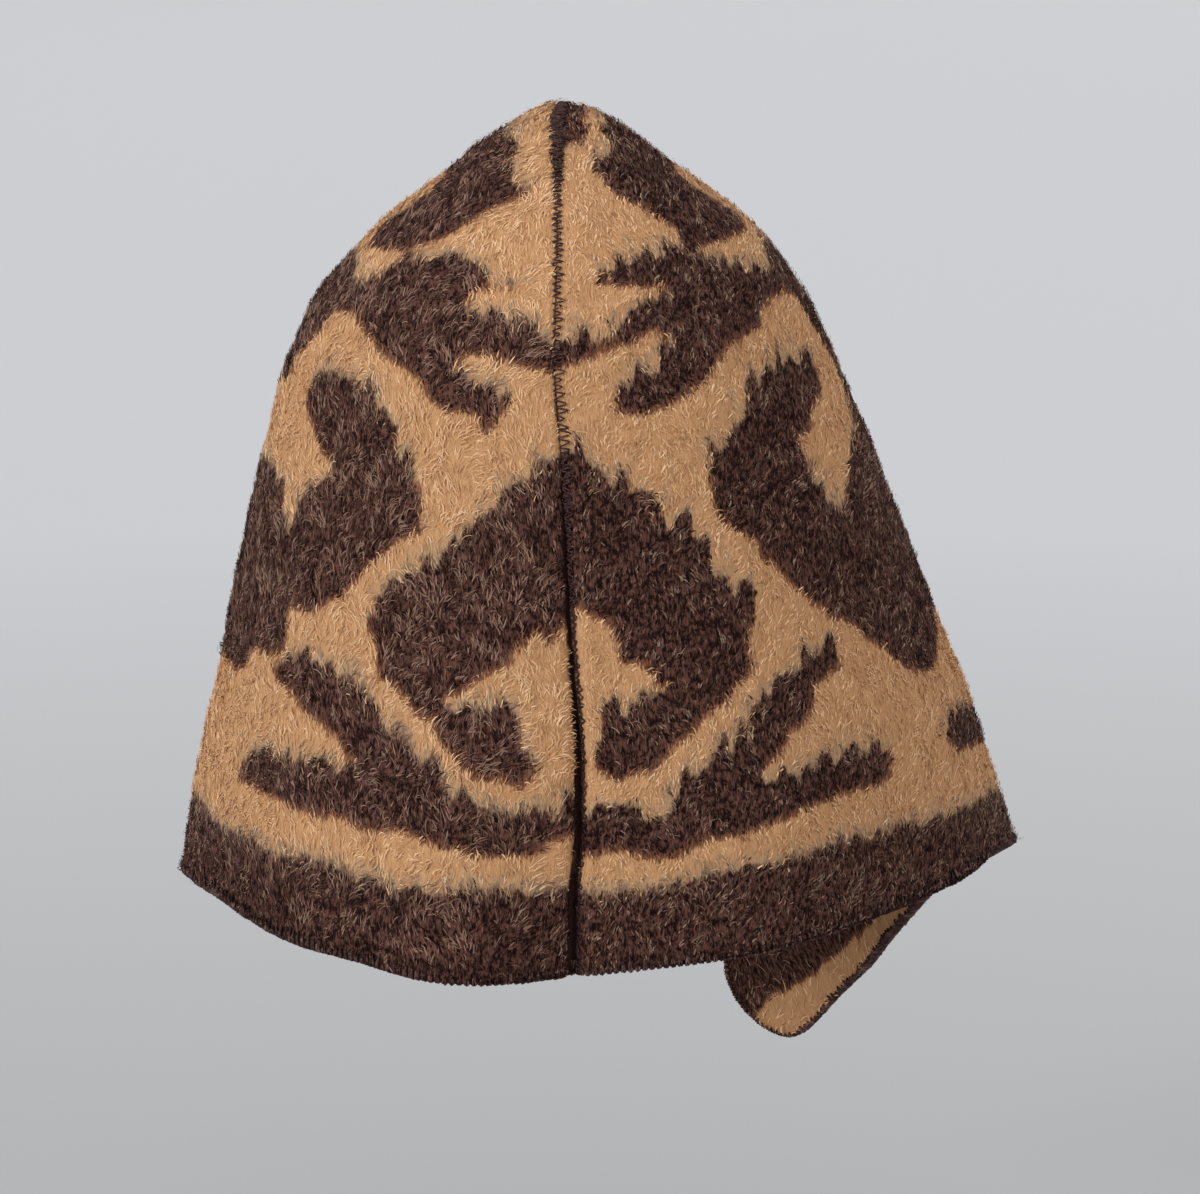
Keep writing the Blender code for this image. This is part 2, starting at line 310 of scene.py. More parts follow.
# Layers of the nap. Lengths, width and lift are in metres. lean is the direction in degrees from
# straight down towards the front, swirl how far it wanders, and curl how far a fibre turns. shade
# makes the tones darker or lighter; it darkens the long fibres, which stand up into the light, as
# painted shade.
NAP = rows(
    "name side within count steps shortest longest width lift lean swirl curl shade",
    ("left_nap", LEFT, False, 39900, 3, 0.0020, 0.0047, 0.00044, 0.0006, 203, 48, 28, 0.0),
    ("left_long_nap", LEFT, False, 17500, 4, 0.0035, 0.0072, 0.00021, 0.0009, 203, 55, 50, -0.22),
    ("left_inner_nap", LEFT, True, 12000, 3, 0.0035, 0.0065, 0.00050, 0.0006, 185, 50, 40, 0.0),
    ("right_nap", RIGHT, False, 39900, 3, 0.0013, 0.0032, 0.00050, 0.0008, 178, 36, 25, 0.0),
    ("right_long_nap", RIGHT, False, 14500, 4, 0.0026, 0.0055, 0.00021, 0.0009, 178, 45, 55, -0.22),
    ("right_inner_nap", RIGHT, True, 12000, 3, 0.0035, 0.0065, 0.00050, 0.0006, 180, 50, 40, 0.0),
)
NAP_SEED = 101
SMALL_SWIRL = 0.5             # how much the small swirl counts beside the other
LEAN_JITTER = 16.0            # degrees
CURL_JITTER, CURL_LEVEL = 0.8, 0.8
TWIST_JITTER = 0.35           # radians
LIFT_RANGE = (0.35, 1.5)
LIFT_BOW = 2.6                # radians of a sine that a fibre bows out by
ROOT_SINK = 0.3               # how deep its root lies, as a share of the lift
WIDTH_RANGE = (0.65, 1.25)
TAPER = 0.5
TUFT_LIFT, TUFT_RISE = 0.5, 0.0003
OVER_THREAD = 0.0024          # how far fibres at the edges stand off over the stitches
# Fibres are shorter within NAP_EDGE of an edge or the seam, down to these shares. Beside the
# seam they get shorter still past a length from the peak.
NAP_EDGE = 0.006
EDGE_SHORTEST = 0.60
SEAM_SHORTEST = {LEFT: 0.65, RIGHT: 0.35}
LOW_SEAM_SHORTER = {LEFT: 0.30, RIGHT: 0.0}
LOW_SEAM_FROM, LOW_SEAM_FADE = 0.10, 0.05

# Thread
THREAD_SIDES = 4
THREAD_RADIUS = 0.00029
EDGE_THREAD_RADIUS = 0.00045
SEAM_PITCH = 0.0027
SEAM_COLUMNS = 100            # columns of the cloth that stitches are looked for in
LONGEST_BITE = 1.15
SEAM_STAND = 0.0006
SEAM_UPWARDS = 0.25           # how far up the loops stand, against outwards
PATH_STEPS = 4
# How far the stitches reach to each side of the seam, by the depth below the peak
SEAM_BITE = rows(
    "depth left right",
    (0.000, 0.0024, 0.0026),
    (0.030, 0.0020, 0.0022),
    (0.060, 0.0012, 0.0028),
    (0.100, 0.0006, 0.0037),
    (0.122, 0.0004, 0.0034),
    (0.140, -0.0009, 0.0027),
    (0.200, -0.0011, 0.0024),
    (0.282, -0.0010, 0.0021),
)
# Passes of stitches over the seam. pitch and stand, which is how far the loops stand off, are in
# metres, first and last are depths below the peak, and bite scales the reach above.
SEAM_PASSES = rows(
    "seed front first last pitch shortest bite jitter stand",
    (131, False, 0.0, HAT_HEIGHT, SEAM_PITCH, 0.60, 1.0, 0.08, 0.0003),
    (132, True, 0.0, FACE_TOP, SEAM_PITCH, 0.60, 1.0, 0.08, 0.0003),
    (139, False, 0.120, HAT_HEIGHT, 0.0021, 0.35, 0.75, 0.20, 0.0006),
    (133, False, 0.0, 0.017, 0.0018, 0.25, 1.2, 0.42, 0.0017),
    (134, False, 0.0, 0.026, 0.0026, 0.25, 1.1, 0.42, 0.0015),
    (135, False, 0.0, 0.013, 0.0016, 0.25, 1.3, 0.42, 0.0017),
    (136, False, 0.0, 0.020, 0.0020, 0.25, 1.1, 0.42, 0.0015),
    (138, True, 0.0, 0.006, 0.0018, 0.25, 1.2, 0.42, 0.0017),
)
# How far from the seam the cloth is darkened, under the thread and with painted shade in the seam's
# groove
DARK_SEAM = rows(
    "depth reach",
    (0.000, 0.0026),
    (0.018, 0.0022),
    (0.030, 0.0005),
    (0.112, 0.0005),
    (0.130, 0.0010),
    (0.282, 0.0010),
)
DARK_SEAM_UNEVEN = 0.60

# One overlock loop round the hem: along as a share of the pitch, inwards as a share of the bite
# and outwards in metres
HEM_PITCH = 0.0024
HEM_BITE = 0.0048
HEM_BITE_RANGE = (0.35, 1.1)
HEM_JITTER = 0.00022
HEM_SEED = 121
LOOP = np.array((
    (0.00, 1.00, 0.0019), (0.22, 0.50, 0.0023), (0.30, 0.00, 0.0020), (0.20, -0.14, 0.0),
    (0.56, 0.00, -0.0021), (0.66, 0.30, -0.0023), (0.74, 0.50, -0.0019), (0.84, 0.20, -0.0023),
    (1.00, -0.02, -0.0020), (1.10, -0.16, 0.0), (0.85, 0.00, 0.0021), (1.00, 0.50, 0.0023)))

# Colours of the fibres, as shares of full light, from dark to light
BEIGES = rows(
    "colour share",
    ((0.495, 0.268, 0.128), 0.15),
    ((0.605, 0.352, 0.182), 0.36),
    ((0.670, 0.410, 0.220), 0.35),
    ((0.700, 0.448, 0.262), 0.14),
)
BROWNS = rows(
    "colour share",
    ((0.014, 0.0048, 0.0042), 0.22),
    ((0.038, 0.0142, 0.0112), 0.20),
    ((0.085, 0.0360, 0.0270), 0.23),
    ((0.150, 0.0740, 0.0530), 0.23),
    ((0.240, 0.1420, 0.1020), 0.12),
)
# Reddish strands along the lower edges of the brown
REDS = rows(
    "colour from_edge spread share",
    ((0.130, 0.046, 0.027), 0.0012, 0.0014, 0.55),
    ((0.280, 0.120, 0.058), -0.0004, 0.0011, 0.50),
)
# Mixed strands over its upper edges, from those furthest above it
HAZES = rows(
    "colour from_edge spread share",
    ((0.430, 0.315, 0.195), -0.0026, 0.0022, 0.45),
    ((0.270, 0.185, 0.125), -0.0008, 0.0018, 0.50),
    ((0.150, 0.092, 0.068), 0.0012, 0.0022, 0.50),
)
FIBRES = {"beige": BEIGES, "brown": BROWNS, "red": REDS, "haze": HAZES}
DARKEST_BROWN = len(BEIGES)
FIRST_RED = DARKEST_BROWN + len(BROWNS)
FIRST_HAZE = FIRST_RED + len(REDS)
LIGHT_RED, MIDDLE_HAZE, DARK_HAZE = FIRST_RED + 1, FIRST_HAZE + 1, FIRST_HAZE + 2

# What makes fibres lighter, or darker where it is below zero. The pairs are for the brown and
# for the beige, and the rest is for the brown alone.
STRAND_TONE = (1.15, 0.85)
PATCH_TONE = (0.55, 0.30)
TONE_JITTER = 0.24
TONE_AND_PAINTED_LIGHT = {LEFT: 0.17, RIGHT: -0.38}     # lighter left brown: more light fibres and painted light; darker right brown: painted shade
SIDE_PAINTED_SHEEN = {LEFT: 0.22, RIGHT: 0.60}      # painted sheen lightens the brown at the sides of the hat
SIDE_FROM, SIDE_FADE = 0.22, 0.22           # turns
HEM_PAINTED_LIGHT = {LEFT: 0.0, RIGHT: 0.34}        # painted light lightens the right panel's brown along its hem
HEM_SHIFT_BELOW = 0.032
# Painted shade: the brown on the inside of the cloth is darker.
INSIDE_PAINTED_SHADE = -0.40
UPPER_SHIFT, UPPER_REACH = 0.20, 0.006      # below the upper edges
RIM_SHIFT, RIM_REACH = -0.75, 0.006         # along the left panel's hem
# A deep patch beside the seam on the right panel, at a length from the peak
DEEP_SHIFT, DEEP_AT, DEEP_REACH, DEEP_WIDTH = -0.22, 0.175, 0.045, 0.035

# Which fibres take the colour of the cloth on the other side of an edge
EDGE_BLUR, UPPER_BLUR = 0.0006, 0.0012
TONE_ALONG = 0.4              # the share of a fibre's length at which its colour is found
RED_FACING, HAZE_FACING = 0.25, 0.15
DOTS_ABOVE, DOTS_WITHIN = 0.52, 0.002
STREWN, STREWN_WIDTH, STREWN_LENGTH, STREWN_RED = 0.55, 0.009, 0.038, 0.6
MIXED, MIXED_LENGTH = 0.28, 0.040
THREAD_AND_SEAM_SHADE_FROM = 0.4

# The cloth under the nap. The places of its edges are in metres.
CLOTH_COLOURS = {
    "beige": (0.36, 0.170, 0.073),
    "light_beige": (0.57, 0.325, 0.165),
    "worn_beige": (0.50, 0.270, 0.128),
    "hazy_beige": (0.330, 0.230, 0.145),
    "brown": (0.0095, 0.0033, 0.0030),
    "knotted_brown": (0.095, 0.0410, 0.0300),
    "light_brown": (0.175, 0.0880, 0.0630),
    # the thread, and painted shade in the seam's groove
    "thread_and_seam_shade": (0.024, 0.0105, 0.0090),
}
# Noise in the cloth: a cell across and down in metres, detail and roughness
FINE_WOOL = (0.0007, 0.0028, 3.0, 0.7)
STRAND_WOOL = (0.0006, 0.0040, 3.0, 0.65)
KNOT_WOOL = (0.0016, 0.0026, 2.0, 0.6)
CLUMP_WOOL = (0.0060, 0.0090, 2.0, 0.5)
FINE_WOOL_REACH = 0.009
THREAD_COLOUR = (0.018, 0.008, 0.008)
THREAD_SHEEN = (0.085, 0.042, 0.037)
# Painted highlights: a share of the thread is lighter, where it catches the light.
SEAM_THREAD_HIGHLIGHT, SEAM_THREAD_HIGHLIGHT_SHARE = (0.090, 0.045, 0.040), 0.0
EDGE_THREAD_HIGHLIGHT, EDGE_THREAD_HIGHLIGHT_SHARE = (0.170, 0.092, 0.078), 0.17

# Stage and light
STAGE_FLOOR = -0.50
STAGE_RADIUS = 12.0
STAGE_CURVE = 2.2
STAGE_HEIGHT = 2.4
STAGE_STEPS = 12
STAGE_SIDES = 96
# The floor is darker near its middle than further off: painted shade.
SHADED_FLOOR_NEAR, FLOOR_FAR = (0.410, 0.412, 0.415), (0.520, 0.520, 0.532)
FLOOR_FROM, FLOOR_TO = 0.6, 2.0
WORLD_COLOUR = (0.88, 0.89, 0.91, 1)
WORLD_STRENGTH = 0.9
# Soft lights: the direction towards each, the degrees that it fills, its strength and colour
LIGHTS = rows(
    "name towards degrees strength colour",
    ("key", (-2.25, -1.65, 0.75), 26, 2.72, (0.98, 1.0, 1.0)),
    ("fill", (1.9, -1.9, 0.45), 34, 1.27, (1.0, 0.98, 0.95)),
    ("top", (-0.4, 0.5, 2.3), 35, 0.40, (1.0, 1.0, 1.0)),
)


def clamp(values):
    return np.clip(values, 0, 1)


def bell(values, spread):
    """1 at 0, dying away on both sides."""
    return np.exp(-(values / spread) ** 2)


def norms(vectors):
    return np.linalg.norm(vectors, axis=-1)


def unit(vectors):
    return vectors / np.maximum(norms(vectors)[..., None], 1e-12)


def dots(first, second):
    return (first * second).sum(-1, keepdims=True)


def column(table, name, at):
    """The named column of a table at places along its first column, on a smooth curve."""
    along = next(iter(table[0]))
    x = np.array([row[along] for row in table], float)
    y = np.array([row[name] for row in table], float)
    slopes = np.diff(y) / np.diff(x)
    before, after = slopes[:-1], slopes[1:]
    level = before * after <= 0
    total = np.where(level, 1, before + after)
    inner = np.where(level, 0, 2 * before * after / total)
    tangents = np.concatenate((slopes[:1], inner, slopes[-1:]))
    at = np.clip(at, x[0], x[-1])
    i = np.clip(np.searchsorted(x, at, side="right") - 1, 0, len(x) - 2)
    t = (at - x[i]) / (x[i + 1] - x[i])
    bend = tangents[i] * (1 - t) - tangents[i + 1] * t
    chord = slopes[i] * (1 - 2 * t)
    return y[i] + (y[i + 1] - y[i]) * t + (x[i + 1] - x[i]) * t * (1 - t) * (bend - chord)


def section(side, depth):
    """Half width, back reach, front reach and arc of a panel at depths below the peak."""
    share = depth / HAT_HEIGHT
    width = HEM_HALF_WIDTH[side] * column(SECTIONS, WORD[side], share)
    back = HEM_DEPTH_BACK * column(SECTIONS, "back", share)
    front = HEM_DEPTH_FRONT * column(SECTIONS, "front", share)
    return width, back, front, np.radians(column(SECTIONS, "arc", share))


def turn_at(side, depth, x):
    """The turn towards the front seam at which a section is this far from the seam plane."""
    width, _, _, arc = section(side, depth)
    cosine = np.cos(arc) + x / width * (1 - np.cos(arc))
    return 0.5 + 0.5 * np.arccos(np.clip(cosine, -1, 1)) / arc


def fold_reach(side, turn, depth):
    """How far the folds push the cloth outwards."""
    share = depth / HAT_HEIGHT
    reach = np.zeros(np.broadcast(turn, depth).shape)
    for fold in FOLDS:
        if fold["side"] == side:
            opened = clamp((share - fold["begins"]) / (1 - fold["begins"]))
            offset = np.clip((turn - fold["turn"]) / fold["width"], -1, 1)
            place = np.cos(math.pi / 2 * offset) ** 2
            reach = reach + FOLD_REACH * fold["reach"] * place * opened ** FOLD_POWER
    return reach


def flap_swing(side, turn, depth):
    """How far a front corner stands forward of the section."""
    start = FLAP_BEND * HAT_HEIGHT
    fallen = np.maximum(depth - start, 0) / (HAT_HEIGHT + FLAP_DROP[side] - start)
    near_front = clamp((turn - 0.5) / FLAP_SWING_TURN)
    return FLAP_SWING[side] * fallen ** FLAP_SWING_POWER * near_front


def outer_point(side, turn, depth):
    """Points on the outside of the cloth, with the sway of the seam."""
    width, back, front, arc = section(side, depth)
    angle = arc * (1 - 2 * turn)
    x = width * (np.cos(angle) - np.cos(arc)) / (1 - np.cos(arc))
    y = -np.where(angle > 0, back, front) * np.sin(angle) / np.sin(arc)
    reach = fold_reach(side, turn, depth) / np.hypot(x, y)
    x, y = x * (1 + reach), y * (1 + reach)
    y = y + flap_swing(side, turn, depth)
    near_seam = clamp(1 - turn / SWAY_TURN)
    sway = column(SEAM_SWAY, "sway", depth) * near_seam ** 2 * (3 - 2 * near_seam)
    return np.stack((side * x + sway, y, PEAK_ABOVE_HEAD - depth + 0 * x), -1)


def front_turn(side, depth):
    """The turn at a panel's front edge: past the front seam above the face opening."""
    fallen = clamp((depth - FACE_TOP) / FACE_ARCH)
    arch = np.sqrt(1 - (1 - fallen) ** 2)
    return turn_at(side, depth, FACE_HALF_WIDTH * arch)


def corner_round(way):
    """How much the rounding of the front corner takes off the hem."""
    past = clamp((way - FLAP_CORNER_SHARE) / (1 - FLAP_CORNER_SHARE))
    return FLAP_ROUND * (1 - np.sqrt(1 - past ** 2))


def hem_depth(side, way):
    """The depth of the hem below the peak at ways along the panel."""
    lift = HEM_LIFT * column(HEM, WORD[side] + "_lift", way)
    drop = FLAP_DROP[side] * column(HEM, "drop", way)
    return HAT_HEIGHT - lift + drop - corner_round(way)


def noise(x, y, seed):
    """Smooth noise from -1 to 1, with a lattice cell for each unit of x and y."""
    cells = 256
    table = np.random.default_rng(seed).uniform(-1, 1, (cells, cells))
    i, j = np.floor(x).astype(int), np.floor(y).astype(int)
    u, v = x - i, y - j
    u, v = u * u * (3 - 2 * u), v * v * (3 - 2 * v)
    i, j = i % cells, j % cells
    right, down = (i + 1) % cells, (j + 1) % cells
    top = table[i, j] * (1 - u) + table[right, j] * u
    bottom = table[i, down] * (1 - u) + table[right, down] * u
    return top * (1 - v) + bottom * v


def field(name, side, at):
    """One of the fields of noise, at places with a width and a length on the cloth."""
    row = next(row for row in FIELDS if row["name"] == name)
    across = at["width"] / row["across"] + row["moved"]
    return noise(across, at["length"] / row["down"], row["seed"] + side)


def to_pixels(points):
    """Where points fall in the photograph's frame."""
    offset = points - np.array(CAMERA_PLACE)
    sine, cosine = math.sin(CAMERA_TILT), math.cos(CAMERA_TILT)
    away = offset[..., 1] * cosine - offset[..., 2] * sine
    above = offset[..., 1] * sine + offset[..., 2] * cosine
    across = FRAME_WIDTH / 2 + FOCAL_PIXELS * offset[..., 0] / away
    down = FRAME_HEIGHT / 2 - FOCAL_PIXELS * above / away
    return np.stack((across, down), -1)


def inside(outline, pixels):
    """Whether each pixel lies within an outline."""
    x, y = pixels[..., 0], pixels[..., 1]
    result = np.zeros(x.shape, bool)
    for (x0, y0), (x1, y1) in zip(outline, outline[1:] + outline[:1]):
        if y0 != y1:
            crosses = (y0 > y) != (y1 > y)
            result ^= crosses & (x < x0 + (x1 - x0) * (y - y0) / (y1 - y0))
    return result


def outline_samples(outline):
    """Points along an outline, a step of CHART_STEP or less apart."""
    samples = []
    for start, end in zip(outline, outline[1:] + outline[:1]):
        steps = max(1, math.ceil(math.dist(start, end) / CHART_STEP))
        share = np.arange(steps)[:, None] / steps
        samples.append(np.array(start) * (1 - share) + np.array(end) * share)
    return np.concatenate(samples)


def nearest(points, targets):
    """The distance from each point to the nearest target, and which one it is."""
    distance = np.empty(len(points))
    which = np.empty(len(points), int)
    block = 4096
    for start in range(0, len(points), block):
        part = points[start:start + block]
        square = ((part[:, None, :] - targets[None, :, :]) ** 2).sum(-1)
        which[start:start + block] = square.argmin(1)
        distance[start:start + block] = np.sqrt(square.min(1))
    return distance, which


def chart(side):
    """How far inside the brown each place on the back half lies, in metres, with and without
    the border."""
    turn, depth = np.meshgrid(np.linspace(0, 0.5, CHART_COLUMNS),
                              np.linspace(CHART_TOP, CHART_DEPTH, CHART_ROWS), indexing="ij")
    points = outer_point(side, turn, depth)
    pixels = to_pixels(points)
    flat_points, flat_pixels = points.reshape(-1, 3), pixels.reshape(-1, 2)
    deepest = np.full(turn.shape, -1.0)
    without_border = deepest
    for name, outline in CHART[side].items():
        off, which = nearest(outline_samples(outline), flat_pixels)
        edge = flat_points[which[off < CHART_SLACK]]
        away = nearest(flat_points, edge)[0].reshape(turn.shape)
        signed = np.where(inside(outline, pixels), away, -away)
        deepest = np.maximum(deepest, signed)
        if name != "border":
            without_border = np.maximum(without_border, signed)
    return deepest, without_border


def grid_value(table, u, v):
    """A table's value between its nodes, at shares u and v of its two sides."""
    x, y = clamp(u) * (table.shape[0] - 1), clamp(v) * (table.shape[1] - 1)
    i = np.minimum(x.astype(int), table.shape[0] - 2)
    j = np.minimum(y.astype(int), table.shape[1] - 2)
    s, t = x - i, y - j
    if table.ndim == 3:
        s, t = s[..., None], t[..., None]
    top = table[i, j] * (1 - s) + table[i + 1, j] * s
    bottom = table[i, j + 1] * (1 - s) + table[i + 1, j + 1] * s
    return top * (1 - t) + bottom * t


def close_peak(surface, tip):
    """Draws the first rows of a surface in towards its tip, so that the cloth closes there."""
    ring = surface[:, len(PEAK_SHARES)]
    for row, share in enumerate(PEAK_SHARES):
        surface[:, row] = tip + (ring - tip) * share


def grid_places(side):
    """The ways of a panel's columns, with the depths and turns of all its points."""
    number = np.arange(COLUMNS)
    near_seam = SEAM_CROWD[0] * np.exp(-number / SEAM_CROWD[1])
    near_front = FRONT_CROWD[0] * np.exp(-(COLUMNS - 1 - number) / FRONT_CROWD[1])
    room = 1 - near_seam - near_front
    way = np.concatenate(([0], np.cumsum(room))) / room.sum()
    below_tip = CROWN_ROWS - len(PEAK_SHARES)
    crown = FACE_TOP * (np.arange(1, below_tip + 1) / below_tip) ** ROW_ROOM
    crown = np.concatenate((crown[0] * np.array(PEAK_SHARES), crown))
    skirt = (np.arange(1, SKIRT_ROWS + 1) / SKIRT_ROWS) ** ROW_ROOM
    depth = np.concatenate((np.broadcast_to(crown, (COLUMNS + 1, CROWN_ROWS)),
                            FACE_TOP + (hem_depth(side, way)[:, None] - FACE_TOP) * skirt), 1)
    return way, depth, way[:, None] * front_turn(side, depth)


def ornament(side, way, depth, turn, above_hem):
    """How far inside the brown each point of a panel lies, in metres."""
    # The front half repeats the back half as in a mirror, at the same share of the height.
    mirrored = np.minimum(turn, 1 - turn)
    twin_way = mirrored / front_turn(side, depth)
    twin_depth = depth * hem_depth(side, twin_way) / hem_depth(side, way)[:, None]
    twin_depth = np.where(turn > 0.5, twin_depth, depth)
    back, front = (grid_value(table, mirrored / 0.5, twin_depth / CHART_DEPTH)
                   for table in chart(side))
    border = column(BORDER, WORD[side], way)[:, None]
    border = border - above_hem - corner_round(way)[:, None]
    return np.where(turn < 0.5, back, np.maximum(front, border))


def panel_grid(side):
    """The cloth of one panel as a fine grid of places, normals, lengths and ornament."""
    way, depth, turn = grid_places(side)
    place = outer_point(side, turn, depth)
    tip = np.array((SEAM_SWAY[0]["sway"] / 2, 0, PEAK_ABOVE_HEAD))
    close_peak(place, tip)
    across, down = np.gradient(place, axis=0), np.gradient(place, axis=1)
    normal = unit(np.cross(across, down) * -side)
    strides = norms(np.diff(place, axis=0))
    width = np.concatenate((np.zeros((1, place.shape[1])), np.cumsum(strides, 0)), 0)
    first = norms(place[:, :1] - np.array((0, 0, PEAK_ABOVE_HEAD)))
    length = np.concatenate((first, first + np.cumsum(norms(np.diff(place, axis=1)), 1)), 1)
    above_hem = length[:, -1:] - length
    below_peak = depth[0] <= FACE_TOP
    to_front = width[-1:] - width
    to_seam = np.where(below_peak[None, :], np.minimum(width, to_front), width)
    motif = ornament(side, way, depth, turn, above_hem)
    upper = np.gradient(motif, axis=1) / np.maximum(np.gradient(length, axis=1), 1e-5)
    grid = {"turn": turn, "normal": normal, "width": width, "length": length, "motif": motif,
            "upper": np.clip(upper, -1, 1), "above_hem": above_hem, "to_seam": to_seam,
            "to_face": np.where(below_peak[None, :], 1.0, to_front),
            "across": unit(across), "down": unit(down)}

    half = column(GROOVE, WORD[side], depth)
    half = np.where(turn < 0.5, half, half[:1, :1])
    deep = column(GROOVE, "deep", depth) * np.where(turn < 0.5, 1, FRONT_GROOVE)
    groove = deep * bell(to_seam, half)
    reach = column(DARK_SEAM, "reach", depth)
    reach = reach * (1 + DARK_SEAM_UNEVEN * field("thread_edge", side, grid))
    # Darkened beside the seam: under the thread, and painted shade in the groove.
    grid["thread_and_seam_shade"] = np.where(turn < 0.5, np.exp(-(to_seam / reach) ** 4), 0)
    wobble = WOBBLE * field("wobble", side, grid)
    lumps = LUMPS * field("lumps", side, grid)
    fade = clamp(to_seam / SMOOTH_SEAM)
    outer = place + normal * ((wobble + lumps) * fade - groove)[..., None]
    inner = place - normal * (CLOTH + groove - wobble * fade)[..., None]
    for surface in (outer, inner):
        surface[0, :, 0] = column(SEAM_SWAY, "sway", depth[0])
        surface[-1, below_peak, 0] = 0
    close_peak(outer, tip)
    close_peak(inner, tip - np.array((0, 0, CLOTH)))
    return {"outer": outer, "inner": inner, **grid}


def put(name, data):
    """A new object in the scene."""
    item = bpy.data.objects.new(name, data)
    bpy.context.scene.collection.objects.link(item)
    return item


def new_piece(name, vertices, faces_by_size, materials, slots=None):
    """A mesh object from arrays of points and of faces, which are quads before triangles."""
    mesh = bpy.data.meshes.new(name)
    loops = np.concatenate([f.reshape(-1) for f in faces_by_size])
    totals = np.concatenate([np.full(len(f), f.shape[1]) for f in faces_by_size])
    starts = np.concatenate(([0], np.cumsum(totals)[:-1]))
    mesh.vertices.add(len(vertices))
    mesh.vertices.foreach_set("co", vertices.astype(np.float32).reshape(-1))
    mesh.loops.add(len(loops))
    mesh.loops.foreach_set("vertex_index", loops.astype(np.int32))
    mesh.polygons.add(len(totals))
    mesh.polygons.foreach_set("loop_start", starts.astype(np.int32))
    for material in materials:
        mesh.materials.append(material)
    if slots is not None:
        mesh.polygons.foreach_set("material_index", slots.astype(np.int32))
    mesh.update(calc_edges=True)
    mesh.validate()
    mesh.shade_smooth()
    piece = put(name, mesh)
    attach(piece, "root")
    return piece


def rim_faces(fine, coarse):
    """Triangles between a line of points and one with half as many steps."""
    middle = fine[1::2]
    return np.concatenate((np.stack((fine[:-2:2], middle, coarse[:-1]), -1),
                           np.stack((middle, fine[2::2], coarse[1:]), -1),
                           np.stack((middle, coarse[1:], coarse[:-1]), -1)))


def cloth_piece(name, side, grid, material):
    """The cloth of one panel: a fine outside, a coarser inside and the rim that joins them."""
    outer, inner = grid["outer"], grid["inner"][::2, ::2]
    count = outer.shape[0] * outer.shape[1]
    index = np.arange(count).reshape(outer.shape[:2])
    under = np.arange(inner.shape[0] * inner.shape[1]).reshape(inner.shape[:2]) + count
    quads = []
    for lattice in (index, under[::-1]):
        corners = (lattice[:-1, :-1], lattice[:-1, 1:], lattice[1:, 1:], lattice[1:, :-1])
        quads.append(np.stack(corners, -1).reshape(-1, 4))
    rims = np.concatenate((rim_faces(index[0], under[0]),
                           rim_faces(index[-1, ::-1], under[-1, ::-1]),
                           rim_faces(index[:, -1], under[:, -1]),
                           rim_faces(index[::-1, 0], under[::-1, 0])))
    faces = [np.concatenate(quads), rims]
    if side == RIGHT:
        faces = [f[:, ::-1] for f in faces]
    vertices = np.concatenate((outer.reshape(-1, 3), inner.reshape(-1, 3)))
    piece = new_piece(name, vertices, faces, [material])
    mesh = piece.data
    edged = grid["motif"] + teeth(grid, side)
    for key, values, flip in (("motif", edged, -1), ("upper", grid["upper"], -1),
                              ("thread_and_seam_shade", grid["thread_and_seam_shade"], 0)):
        both = np.concatenate((values.reshape(-1), flip * values[::2, ::2].reshape(-1)))
        attribute = mesh.attributes.new(key, "FLOAT", "POINT")
        attribute.data.foreach_set("value", both.astype(np.float32))
    # The two panels lie apart on the cloth's plane, so that their noise differs.
    places = np.stack((grid["width"] + (0.5 if side == RIGHT else 0), grid["length"]), -1)
    places = np.concatenate((places.reshape(-1, 2), places[::2, ::2].reshape(-1, 2)))
    layer = mesh.uv_layers.new(name="cloth")
    corner = np.empty(len(mesh.loops), np.int32)
    mesh.loops.foreach_get("vertex_index", corner)
    layer.data.foreach_set("uv", places[corner].astype(np.float32).reshape(-1))
    return piece


def teeth(at, side):
    """How far the weave carries the edges of the ornament up or down, in metres."""
    across = at["width"] / TEETH_APART
    if side == RIGHT:
        whole = np.floor(across)
        across = whole + clamp((across - whole - 0.5) * TEETH_STEEPNESS + 0.5)
    rib = noise(across, at["length"] / TEETH_LENGTH, TEETH_SEED + side)
    strength = TEETH_LEVEL + TEETH_UPPER * np.clip(at["upper"], -0.5, 1)
    low = np.clip((at["above_hem"] - LOW_TEETH_BELOW) / LOW_TEETH_FADE, LOW_TEETH, 1)
    height = TEETH_HEIGHT[side] * low
    slow, fine = (field(name, side, at) for name in ("slow_edge", "fine_edge"))
    return strength * (height * rib + SLOW_EDGE * slow + FINE_EDGE * fine)


def choose(table, level):
    """Picks rows by their shares, later ones as level goes from 0 to 1."""
    shares = [row["share"] for row in table]
    level = np.clip(level, 0, 0.9999)
    return np.searchsorted(np.cumsum(shares) / np.sum(shares), level, side="right")


def brown_shift(at, side, within, value, upper):
    """How much lighter the brown's fibres are than its own shares of tones make them. Much of it is
    painted light and shade: lighter on the left panel, at the sides of the hat and along the right
    panel's hem, darker on the right panel and on the inside.
    """
    near_top = clamp(upper) * bell(value, UPPER_REACH)
    # Painted sheen at the sides of the hat, where the nap is seen edge-on.
    sideways = clamp((at["turn"] - SIDE_FROM) / SIDE_FADE)
    # Painted light on the left panel and painted shade on the right, beside the left's light
    # fibres.
    shift = TONE_AND_PAINTED_LIGHT[side] + SIDE_PAINTED_SHEEN[side] * sideways + UPPER_SHIFT * near_top
    # Painted light along the right panel's hem.
    shift = shift + np.where(at["above_hem"] < HEM_SHIFT_BELOW, HEM_PAINTED_LIGHT[side], 0)
    # Painted shade on the inside.
    if within:
        shift = shift + INSIDE_PAINTED_SHADE
    if side == LEFT:
        return shift + RIM_SHIFT * bell(at["above_hem"], RIM_REACH)
    along = (at["length"] - DEEP_AT) / DEEP_REACH
    return shift + DEEP_SHIFT * np.exp(-along ** 2 - (at["to_seam"] / DEEP_WIDTH) ** 2)


